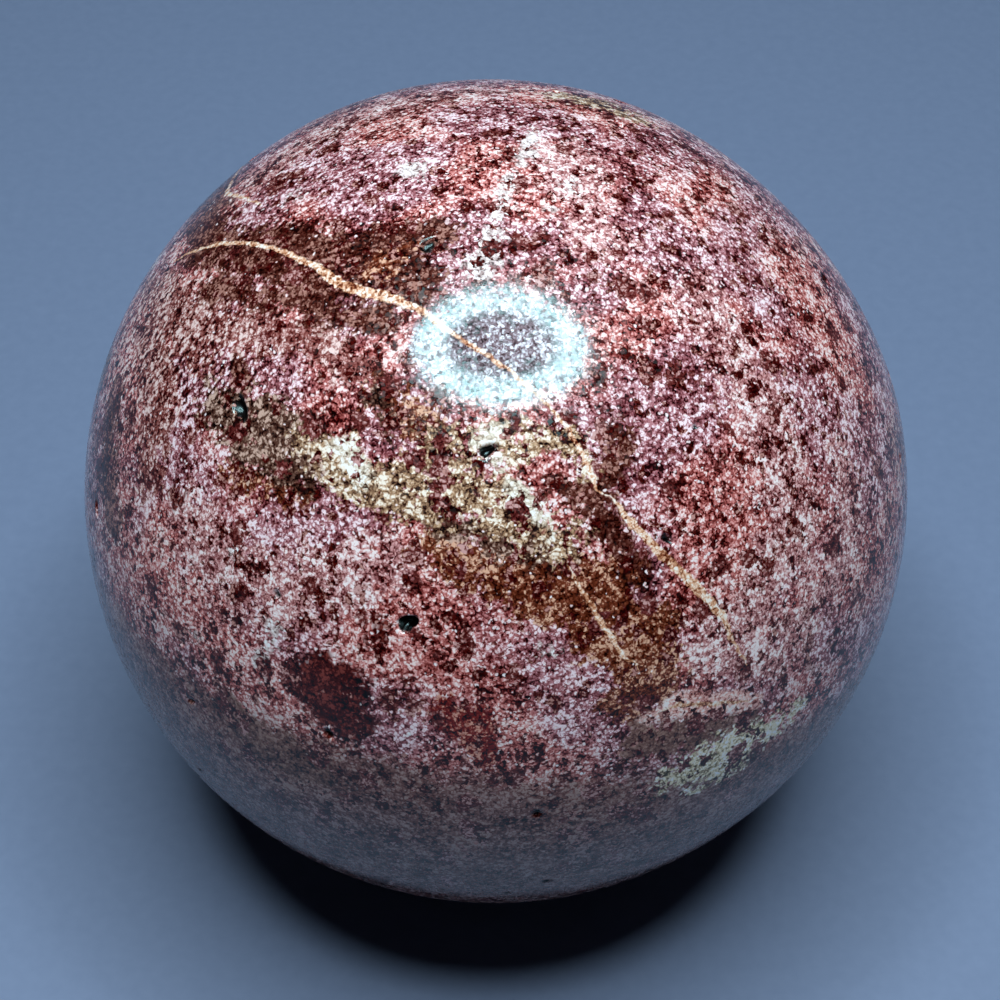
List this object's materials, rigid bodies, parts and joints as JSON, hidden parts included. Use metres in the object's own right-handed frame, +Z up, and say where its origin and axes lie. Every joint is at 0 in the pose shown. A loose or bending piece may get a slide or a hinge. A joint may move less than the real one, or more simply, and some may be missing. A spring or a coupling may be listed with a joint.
{
  "type": "polished garnet sphere",
  "caption": "Hand-ground, polished ball of mottled pink-red garnet rock with open pits, resting on a small ground flat.",
  "frame": {"origin": "centre of the small ground flat that the ball rests on", "axes": "+Z up from the flat through the middle of the ball, -Y towards the side shown as its front"},
  "size_m": [0.06, 0.06, 0.0593],
  "materials": {
    "polished_garnet_rock": "polished"
  },
  "bodies": {
    "root": {"garnet_sphere": "polished_garnet_rock"}
  },
  "joints": []
}
